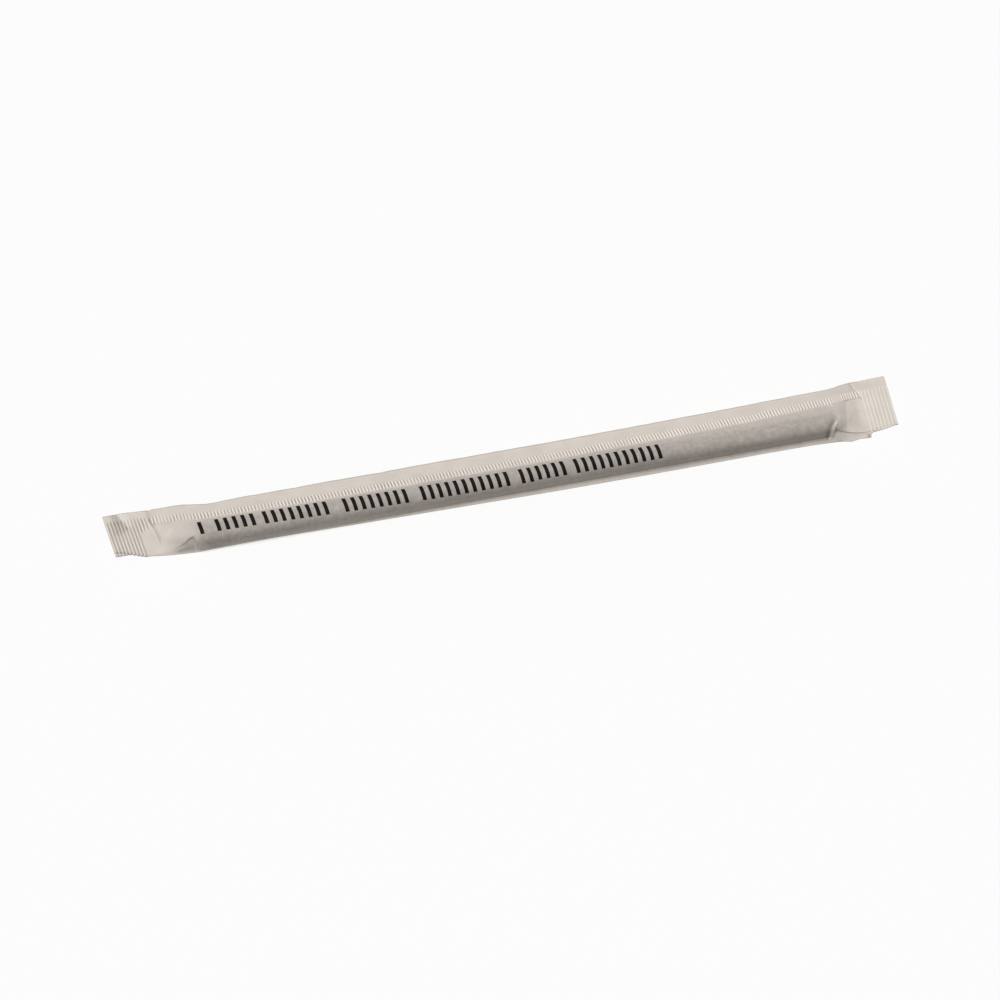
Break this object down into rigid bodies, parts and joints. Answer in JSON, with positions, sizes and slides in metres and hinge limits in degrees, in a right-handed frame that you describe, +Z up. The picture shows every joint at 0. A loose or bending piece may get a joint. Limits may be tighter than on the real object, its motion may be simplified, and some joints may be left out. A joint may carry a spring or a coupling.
{
  "type": "wrapped drinking straw",
  "caption": "Straight drinking straw sealed in a flat translucent paper sleeve with a crimped lap seam along it and ribbed crimps across both flattened ends.",
  "frame": {"origin": "centre of the bounding box, on the table that the sleeve lies on", "axes": "+X along the straw, towards the end with the wider crimp; +Y across the sleeve, from the front fold beside the straw to the rear fold of the wing; +Z up, square to the table"},
  "size_m": [0.2522, 0.0244, 0.0065],
  "materials": {
    "sleeve_paper": "thin uncoated white paper, slightly grey and translucent",
    "straw_plastic": "smooth black plastic"
  },
  "bodies": {
    "root": {"paper_wrapper": "sleeve_paper", "drinking_straw": "straw_plastic"}
  },
  "joints": []
}
